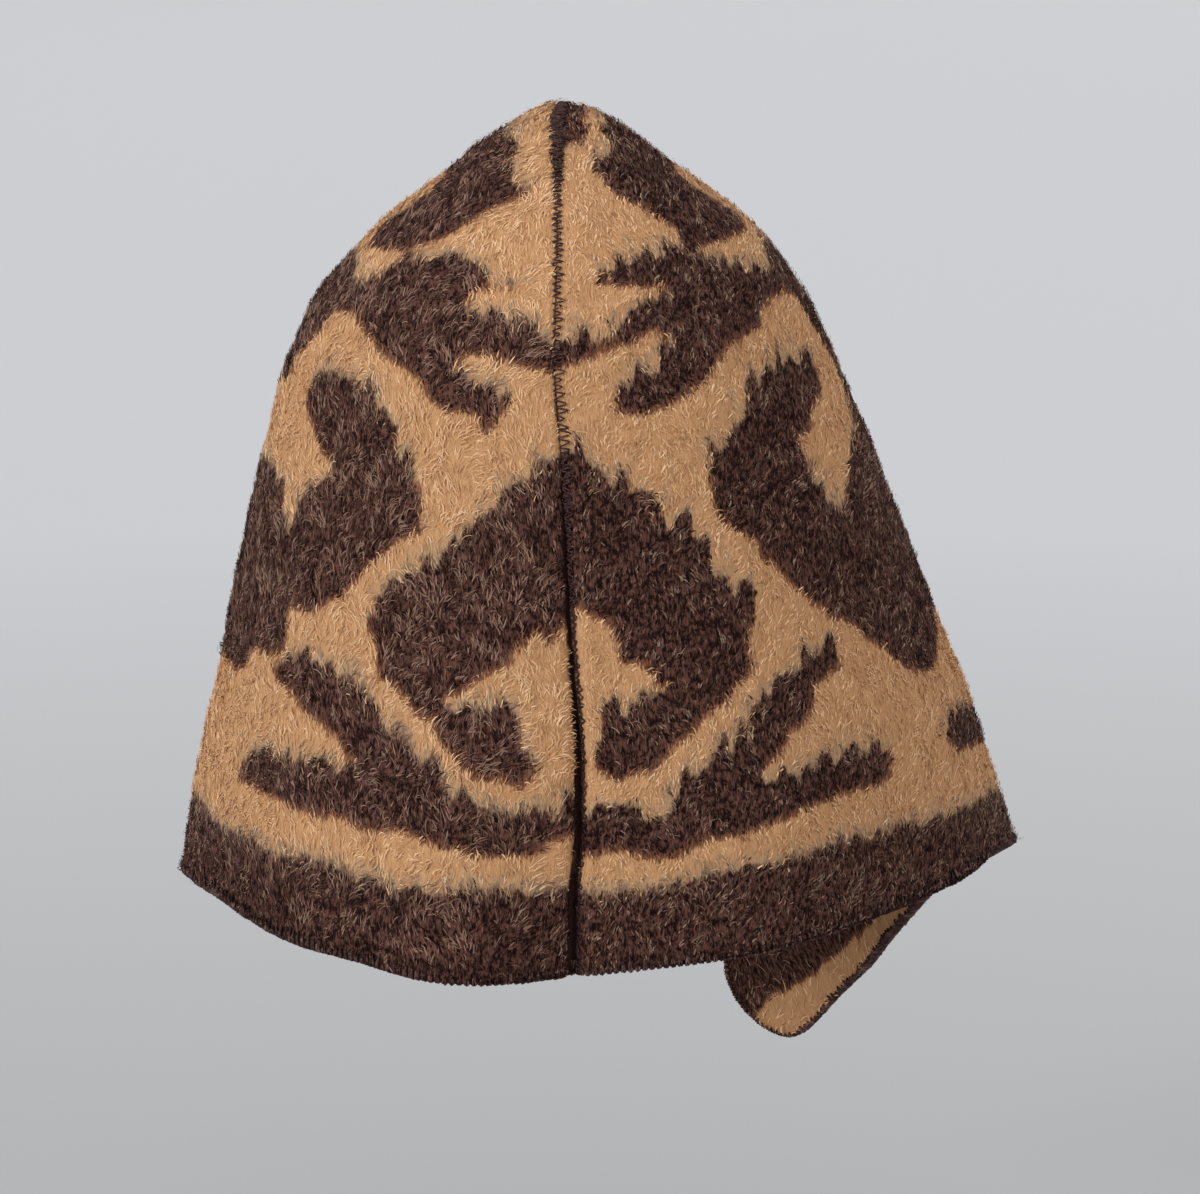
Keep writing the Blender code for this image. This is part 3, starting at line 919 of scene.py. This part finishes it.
def fibre_tones(rng, at, rise, shade, side, within):
    """The material slot of each fibre, from the ornament where its middle lies."""
    count = len(rise)
    flip = -1 if within else 1
    upper = at["upper"] * flip
    value = (at["motif"] + teeth(at, side)) * flip - upper * rise
    value = value + rng.normal(0, 1, count) * (EDGE_BLUR + UPPER_BLUR * clamp(upper))
    level = 0.5 + np.where(value > 0, *STRAND_TONE) * field("strands", side, at)
    level = level + np.where(value > 0, *PATCH_TONE) * field("patches", side, at)
    level = level + rng.uniform(-TONE_JITTER, TONE_JITTER, count) + shade
    shift = brown_shift(at, side, within, value, upper)
    tone = np.where(value > 0, DARKEST_BROWN + choose(BROWNS, level + shift),
                    choose(BEIGES, level))
    for table, first, weight in ((REDS, FIRST_RED, clamp(-upper + RED_FACING)),
                                 (HAZES, FIRST_HAZE, clamp(upper + HAZE_FACING))):
        for slot, row in enumerate(table, first):
            chance = weight * row["share"] * bell(value - row["from_edge"], row["spread"])
            tone = np.where(rng.random(count) < chance, slot, tone)
    if side == RIGHT:
        specks = field("dots", side, at)
        light = np.where(rng.random(count) < 0.5, MIDDLE_HAZE, DARK_HAZE)
        tone = np.where((specks > DOTS_ABOVE) & (value > DOTS_WITHIN), light, tone)
    else:
        # Brown strands of the seam lie over the beige beside it, below the peak.
        beside = (at["to_seam"] / STREWN_WIDTH) ** 2 + (at["length"] / STREWN_LENGTH) ** 4
        strewn = rng.random(count) < STREWN * np.exp(-beside) * (at["turn"] < 0.5)
        strand = np.where(rng.random(count) < STREWN_RED, LIGHT_RED, DARK_HAZE)
        tone = np.where(strewn, strand, tone)
    mixed = rng.random(count) < MIXED * bell(at["length"], MIXED_LENGTH)
    tone = np.where(mixed, np.where(rng.random(count) < 0.5, MIDDLE_HAZE, LIGHT_RED), tone)
    # Fibres beside the seam are darkest brown, under the thread and as painted shade in the groove.
    return np.where(at["thread_and_seam_shade"] > THREAD_AND_SEAM_SHADE_FROM, DARKEST_BROWN, tone)


def scatter(rng, surface, count):
    """Places spread evenly over a surface, as shares along its two sides."""
    a, b = surface[:-1, :-1], surface[1:, :-1]
    c, d = surface[:-1, 1:], surface[1:, 1:]
    area = norms(np.cross(b - a, c - a)) + norms(np.cross(b - d, c - d))
    chosen = rng.choice(area.size, count, p=(area / area.sum()).reshape(-1))
    i, j = chosen // area.shape[1], chosen % area.shape[1]
    u = (i + rng.random(count)) / area.shape[0]
    return u, (j + rng.random(count)) / area.shape[1]


def fibre_lengths(rng, kind, at, edge, side):
    """The length of each fibre, shorter beside the edges and the seam."""
    length = rng.uniform(kind["shortest"], kind["longest"], len(edge))
    length = length * np.clip(edge / NAP_EDGE, EDGE_SHORTEST, 1)
    low = clamp((at["length"] - LOW_SEAM_FROM) / LOW_SEAM_FADE)
    shortest = SEAM_SHORTEST[side] - LOW_SEAM_SHORTER[side] * low
    return length * np.clip(at["to_seam"] / NAP_EDGE, shortest, 1)


def nap_piece(kind, grid, fibres, seed):
    """Loose fibres of the brushed surface, each a narrow strip that tapers to its tip."""
    side, within, count = kind["side"], kind["within"], kind["count"]
    rng = np.random.default_rng(seed)
    surface = grid["inner" if within else "outer"]
    u, v = scatter(rng, surface, count)
    at = {key: grid_value(values, u, v) for key, values in grid.items()
          if key not in ("outer", "inner")}
    outwards = unit(at["normal"]) * (-1 if within else 1)
    down = unit(at["down"] - outwards * dots(at["down"], outwards))
    across = np.cross(outwards, down)
    across = across * np.sign(dots(across, at["across"]))

    swirl = field("swirl", side, at) + SMALL_SWIRL * field("small_swirl", side, at)
    lean = kind["lean"] + kind["swirl"] * swirl + rng.normal(0, LEAN_JITTER, count)
    lean = np.radians(lean)
    edge = np.minimum(at["above_hem"], at["to_face"])
    length = fibre_lengths(rng, kind, at, edge, side)
    tuft = field("tufts", side, at)
    lift = kind["lift"] * rng.uniform(*LIFT_RANGE, count) * (1 + TUFT_LIFT * tuft)
    over_thread = clamp(1 - edge / NAP_EDGE) * rng.random(count)
    stand = TUFT_RISE * tuft + OVER_THREAD * over_thread
    curl = rng.normal(0, CURL_JITTER, count) + CURL_LEVEL * np.sign(swirl)
    curl = np.radians(kind["curl"]) * curl

    steps = kind["steps"]
    share = np.arange(steps + 1) / steps
    rise = np.sin(share * LIFT_BOW) - ROOT_SINK * (1 - share)
    spine = np.empty((count, steps + 1, 3))
    spine[:, 0] = grid_value(surface, u, v) + outwards * stand[:, None]
    for k in range(steps):
        angle = lean + curl * k / (steps - 1)
        ahead = down * np.cos(angle)[:, None] + across * np.sin(angle)[:, None]
        spine[:, k + 1] = spine[:, k] + ahead * (length / steps)[:, None]
    spine += outwards[:, None, :] * (lift[:, None] * rise)[..., None]
    sideways = np.cross(outwards[:, None, :], unit(spine[:, 1:] - spine[:, :-1]))
    twist = rng.normal(0, TWIST_JITTER, count)[:, None, None]
    flat = sideways * np.cos(twist) + outwards[:, None, :] * np.sin(twist)
    thick = kind["width"] * rng.uniform(*WIDTH_RANGE, count) / 2
    half = flat * (thick[:, None] * (1 - TAPER * share[:-1] ** 2))[..., None]
    corners = 2 * steps + 1
    points = np.empty((count, corners, 3))
    points[:, 0:-1:2] = spine[:, :-1] - half
    points[:, 1:-1:2] = spine[:, :-1] + half
    points[:, -1] = spine[:, -1]
    base = corners * np.arange(count)[:, None]
    quads = [base + np.array((0, 1, 3, 2)) + 2 * k for k in range(steps - 1)]
    tips = base + np.array((0, 1, 2)) + corners - 3
    below = -TONE_ALONG * length * np.cos(lean)
    tone = fibre_tones(rng, at, below, kind["shade"], side, within)
    return new_piece(kind["name"], points.reshape(-1, 3), [*quads, tips], fibres,
                     np.tile(tone, steps))


def tube(path, radius):
    """Points and quads of a thread round a path, open at its ends."""
    along = unit(np.gradient(path, axis=0))
    helper = np.where(np.abs(along[:, 2:]) > 0.9, (1.0, 0.0, 0.0), (0.0, 0.0, 1.0))
    first = unit(np.cross(along, helper))
    second = np.cross(along, first)
    turn = np.arange(THREAD_SIDES) * 2 * math.pi / THREAD_SIDES
    ring = (first[:, None, :] * np.cos(turn)[None, :, None]
            + second[:, None, :] * np.sin(turn)[None, :, None]) * radius
    points = path[:, None, :] + ring
    index = np.arange(len(path) * THREAD_SIDES).reshape(len(path), THREAD_SIDES)
    after = np.roll(index, -1, 1)
    quads = np.stack((index[:-1], after[:-1], after[1:], index[1:]), -1).reshape(-1, 4)
    return points.reshape(-1, 3), quads


def thread_piece(name, paths, radius, material):
    """One piece of thread along several paths."""
    points, quads, start = [], [], 0
    for path in paths:
        more, faces = tube(path, radius)
        points.append(more)
        quads.append(faces + start)
        start += len(more)
    return new_piece(name, np.concatenate(points), [np.concatenate(quads)], [material])


def along_edge(samples):
    """Length along a line of points, from its start."""
    return np.concatenate(([0], np.cumsum(norms(np.diff(samples, axis=0)))))


def at_length(samples, lengths, wanted):
    """Samples taken along a line at the lengths wanted."""
    return np.stack([np.interp(wanted, lengths, samples[:, k]) for k in range(3)], -1)


def smooth_path(points):
    """A rounded path that passes through all the points."""
    before = np.concatenate((points[:1], points[:-1]))
    after = np.concatenate((points[1:], points[-1:]))
    beyond = np.concatenate((points[2:], points[-1:], points[-1:]))
    t = (np.arange(PATH_STEPS) / PATH_STEPS)[None, :, None]
    p0, p1, p2, p3 = (p[:-1, None, :] for p in (before, points, after, beyond))
    curve = 0.5 * (2 * p1 + (p2 - p0) * t + (2 * p0 - 5 * p1 + 4 * p2 - p3) * t ** 2
                   + (3 * p1 - p0 - 3 * p2 + p3) * t ** 3)
    return np.concatenate((curve.reshape(-1, 3), points[-1:]))


def on_cloth(grid, front, lines, offsets):
    """Points on the outside at offsets from the seam, along rows that may be fractions."""
    outer, width = grid["outer"], grid["width"]
    if front:
        outer, width = outer[::-1], (width[-1:] - width)[::-1]
    outer, width = outer[:SEAM_COLUMNS], width[:SEAM_COLUMNS]
    points = np.empty((len(lines), 3))
    for k, (line, offset) in enumerate(zip(lines, offsets)):
        j = min(int(line), outer.shape[1] - 2)
        t = line - j
        strip = outer[:, j] * (1 - t) + outer[:, j + 1] * t
        reach = width[:, j] * (1 - t) + width[:, j + 1] * t
        points[k] = [np.interp(offset, reach, strip[:, axis]) for axis in range(3)]
    return points


def seam_stitches(grids, made):
    """A zigzag over the seam, from one depth below the peak to another."""
    front, pitch = made["front"], made["pitch"]
    rng = np.random.default_rng(made["seed"])
    seam = grids[LEFT]["outer"][-1 if front else 0]
    lengths = along_edge(seam)
    depth_there = PEAK_ABOVE_HEAD - seam[:, 2]
    begin, end = np.interp((made["first"], made["last"]), depth_there, lengths)
    count = int((end - begin) / pitch * 2)
    wanted = begin + (np.arange(count) + 0.5) * pitch / 2
    wanted = np.clip(wanted + rng.normal(0, made["jitter"] * pitch, count), begin, end)
    lines = np.interp(wanted, lengths, np.arange(len(seam)))
    depth = np.interp(wanted, lengths, depth_there)
    goes_right = np.arange(count) % 2 == 0
    left, right = (column(SEAM_BITE, word, depth)
                   * rng.uniform(made["shortest"], LONGEST_BITE, count)
                   for word in ("left", "right"))
    offset = np.where(goes_right, right, -left) * made["bite"]
    points = np.where(offset[:, None] > 0,
                      on_cloth(grids[RIGHT], front, lines, np.abs(offset)),
                      on_cloth(grids[LEFT], front, lines, np.abs(offset)))
    outwards = np.array((0, 1 if front else -1, SEAM_UPWARDS))
    stand = SEAM_STAND + rng.uniform(0, made["stand"], count)
    return smooth_path(points + outwards * stand[:, None])


def hem_stitches(grid, seed):
    """Overlock loops round the hem and the front edge of one panel."""
    rng = np.random.default_rng(seed)
    columns, lines = grid["outer"].shape[:2]
    hem = [(i, lines - 1) for i in range(columns)]
    front = [(columns - 1, j) for j in range(lines - 2, CROWN_ROWS, -1)]
    i, j = np.array(hem + front).T
    normal = grid["normal"][i, j]
    middle = (grid["outer"][i, j] + grid["inner"][i, j]) / 2
    inwards = unit(np.cross(normal, unit(np.gradient(middle, axis=0))))
    towards = np.where(np.arange(len(i))[:, None] < len(hem),
                       -grid["down"][i, j], -grid["across"][i, j])
    inwards = inwards * np.sign(dots(inwards, towards))
    lengths = along_edge(middle)
    count = int(lengths[-1] / HEM_PITCH)
    along, inward, outward = LOOP.T
    wanted = ((np.arange(count)[:, None] + along) * HEM_PITCH).reshape(-1)
    bite = HEM_BITE * rng.uniform(*HEM_BITE_RANGE, (count, 1)) * inward
    stand = np.tile(outward, count)
    stand = stand + rng.normal(0, HEM_JITTER, len(stand))
    across = unit(at_length(inwards, lengths, wanted)) * bite.reshape(-1, 1)
    out = unit(at_length(normal, lengths, wanted)) * stand[:, None]
    return at_length(middle, lengths, wanted) + across + out


class Nodes:
    """A material and short ways to add to its nodes."""

    def __init__(self, name, roughness, specular):
        self.material = bpy.data.materials.new(name)
        self.material.use_nodes = True
        self.tree = self.material.node_tree
        self.shader = self.tree.nodes["Principled BSDF"].inputs
        self.shader["Roughness"].default_value = roughness
        self.shader["Specular IOR Level"].default_value = specular

    def feed(self, socket, value):
        """Links an input to another node's output, or gives it a value."""
        if isinstance(value, bpy.types.NodeSocket):
            self.tree.links.new(value, socket)
        elif socket.type == "RGBA":
            socket.default_value = (*value, 1)
        else:
            socket.default_value = value

    def add(self, kind, output, inputs, **settings):
        """Adds a node and gives back one of its outputs."""
        node = self.tree.nodes.new("ShaderNode" + kind)
        for name, value in settings.items():
            setattr(node, name, value)
        for key, value in inputs.items():
            self.feed(node.inputs[key], value)
        return node.outputs[output]

    def math(self, operation, first, second=0.0):
        return self.add("Math", 0, {0: first, 1: second}, operation=operation)

    def product(self, first, *others):
        for other in others:
            first = self.math("MULTIPLY", first, other)
        return first

    def mix(self, share, first, second):
        return self.add("Mix", 2, {0: share, 6: first, 7: second}, data_type="RGBA")

    def ramp(self, value, low, high):
        """0 to 1 as a value goes from low to high."""
        return self.add("MapRange", "Result", {"Value": value, "From Min": low, "From Max": high})

    def noise(self, place, scale, detail, roughness):
        return self.add("TexNoise", "Fac", {"Vector": place, "Scale": scale, "Detail": detail,
                                            "Roughness": roughness})

    def bump(self, height, strength, distance):
        normal = self.add("Bump", "Normal", {"Height": height, "Strength": strength,
                                             "Distance": distance})
        self.feed(self.shader["Normal"], normal)


def wool_material():
    """The cloth under its nap, coloured by the values that cloth_piece stores."""
    nodes = Nodes("brushed_wool_cloth", 0.95, 0.08)
    ramp, mix = nodes.ramp, nodes.mix
    place = nodes.add("UVMap", "UV", {}, uv_map="cloth")

    def wool(across, down, detail, roughness):
        cells = (1 / across, 1 / down, 1)
        spread = nodes.add("Mapping", "Vector", {"Vector": place, "Scale": cells})
        return nodes.noise(spread, 1.0, detail, roughness)

    motif, upper, thread_and_seam_shade = (nodes.add("Attribute", "Fac", {}, attribute_name=name)
                              for name in ("motif", "upper", "thread_and_seam_shade"))
    colours = CLOTH_COLOURS
    uneven = nodes.product(nodes.math("SUBTRACT", wool(*FINE_WOOL), 0.5), FINE_WOOL_REACH)
    value = nodes.math("ADD", motif, uneven)
    strands, knots, clumps = wool(*STRAND_WOOL), wool(*KNOT_WOOL), wool(*CLUMP_WOOL)
    beige = mix(ramp(strands, 0.35, 0.68), colours["beige"], colours["light_beige"])
    beige = mix(ramp(clumps, 0.40, 0.75), beige, colours["worn_beige"])
    brown = mix(ramp(knots, 0.43, 0.60), colours["brown"], colours["knotted_brown"])
    brown = mix(ramp(strands, 0.52, 0.70), brown, colours["light_brown"])
    from_edge = nodes.math("ABSOLUTE", value)
    # Above the upper edges of the brown the beige is mixed with grey strands.
    hazy = nodes.product(ramp(upper, 0.0, 0.6), ramp(from_edge, 0.0050, 0.0010), 0.6)
    beige = mix(hazy, beige, colours["hazy_beige"])
    colour = mix(ramp(value, -0.0012, 0.0012), beige, brown)
    # A reddish line lies along the lower edges of the brown.
    red = nodes.product(ramp(upper, 0.35, -0.35), ramp(from_edge, 0.0013, 0.0003), 0.8)
    colour = mix(red, colour, REDS[0]["colour"])
    # Dark where the thread lies, and painted shade in the seam's groove.
    nodes.feed(nodes.shader["Base Color"], mix(thread_and_seam_shade, colour, colours["thread_and_seam_shade"]))
    nodes.bump(nodes.math("ADD", strands, nodes.product(knots, 0.8)), 0.8, 0.0012)
    return nodes.material


def fibre_material(name, colour):
    nodes = Nodes(name, 0.9, 0.08)
    nodes.feed(nodes.shader["Base Color"], colour)
    nodes.material.diffuse_color = (*colour, 1)
    return nodes.material


def thread_material(name, light, share):
    """Dark thread, with a share of it painted lighter as highlights."""
    nodes = Nodes(name, 0.8, 0.15)
    place = nodes.add("TexCoord", "Object", {})
    fine, broad = (nodes.noise(place, scale, 2.0, 0.6) for scale in (900.0, 260.0))
    colour = nodes.mix(nodes.ramp(fine, 0.35, 0.65), THREAD_COLOUR, THREAD_SHEEN)
    # Painted highlights on a share of the thread.
    colour = nodes.mix(nodes.ramp(broad, 0.68 - share, 0.82 - share), colour, light)
    nodes.feed(nodes.shader["Base Color"], colour)
    nodes.bump(fine, 0.5, 0.0002)
    return nodes.material


def make_stage():
    """A pale floor that curves up into a wall all round, with painted shade that darkens it towards
    its middle.
    """
    profile = [(0.0, STAGE_FLOOR), (STAGE_RADIUS - STAGE_CURVE, STAGE_FLOOR)]
    for k in range(1, STAGE_STEPS + 1):
        angle = k / STAGE_STEPS * math.pi / 2
        profile.append((STAGE_RADIUS - STAGE_CURVE * (1 - math.sin(angle)),
                        STAGE_FLOOR + STAGE_CURVE * (1 - math.cos(angle))))
    profile.append((STAGE_RADIUS, STAGE_FLOOR + STAGE_HEIGHT))
    points, faces = [], []
    for radius, height in profile:
        for k in range(STAGE_SIDES):
            angle = k / STAGE_SIDES * 2 * math.pi
            points.append((radius * math.cos(angle), radius * math.sin(angle), height))
    for ring in range(len(profile) - 1):
        for k in range(STAGE_SIDES):
            a, b = ring * STAGE_SIDES + k, ring * STAGE_SIDES + (k + 1) % STAGE_SIDES
            faces.append((a, b, b + STAGE_SIDES, a + STAGE_SIDES))
    mesh = bpy.data.meshes.new("floor")
    mesh.from_pydata(points, [], faces)
    mesh.shade_smooth()
    nodes = Nodes("pale_floor", 0.9, 0.1)
    place = nodes.add("TexCoord", "Object", {})
    away = nodes.add("VectorMath", "Value", {0: place}, operation="LENGTH")
    # Painted shade: darker near the middle.
    colour = nodes.mix(nodes.ramp(away, FLOOR_FROM, FLOOR_TO), SHADED_FLOOR_NEAR, FLOOR_FAR)
    nodes.feed(nodes.shader["Base Color"], colour)
    mesh.materials.append(nodes.material)
    floor = put("floor", mesh)


def make_lights():
    world = bpy.data.worlds.new("studio")
    world.use_nodes = True
    background = world.node_tree.nodes["Background"]
    background.inputs["Color"].default_value = WORLD_COLOUR
    background.inputs["Strength"].default_value = WORLD_STRENGTH
    bpy.context.scene.world = world
    for row in LIGHTS:
        light = bpy.data.lights.new(row["name"], "SUN")
        light.angle = math.radians(row["degrees"])
        light.energy = row["strength"]
        light.color = row["colour"]
        holder = put(row["name"], light)
        holder.location = row["towards"]
        holder.rotation_euler = Vector(row["towards"]).to_track_quat("Z", "Y").to_euler()


def make_camera():
    camera = bpy.data.cameras.new("camera")
    camera.sensor_width = SENSOR
    camera.lens = FOCAL_PIXELS / FRAME_WIDTH * SENSOR
    holder = put("camera", camera)
    holder.location = CAMERA_PLACE
    holder.rotation_euler = (math.pi / 2 - CAMERA_TILT, 0, 0)
    bpy.context.scene.camera = holder


def main():
    bpy.context.scene.view_settings.view_transform = "Standard"
    make_camera()
    make_stage()
    make_lights()
    wool = wool_material()
    fibres = [fibre_material(f"{family}_fibre_{i}", row["colour"])
              for family, table in FIBRES.items() for i, row in enumerate(table)]
    thread = thread_material("overlock_thread", SEAM_THREAD_HIGHLIGHT, SEAM_THREAD_HIGHLIGHT_SHARE)
    highlit_edge_thread = thread_material("edge_thread", EDGE_THREAD_HIGHLIGHT, EDGE_THREAD_HIGHLIGHT_SHARE)
    grids = {side: panel_grid(side) for side in (LEFT, RIGHT)}
    for side, word in WORD.items():
        grid = grids[side]
        cloth = cloth_piece(word + "_cloth", side, grid, wool)
        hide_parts(word + "_panel")
        loops = thread_piece(word + "_edge_thread", [hem_stitches(grid, HEM_SEED + side)],
                             EDGE_THREAD_RADIUS, highlit_edge_thread)
        layers = [nap_piece(kind, grid, fibres, NAP_SEED + number)
                  for number, kind in enumerate(NAP) if kind["side"] == side]
    paths = [seam_stitches(grids, made) for made in SEAM_PASSES]
    thread_piece("seam_thread", paths, THREAD_RADIUS, thread)


main()
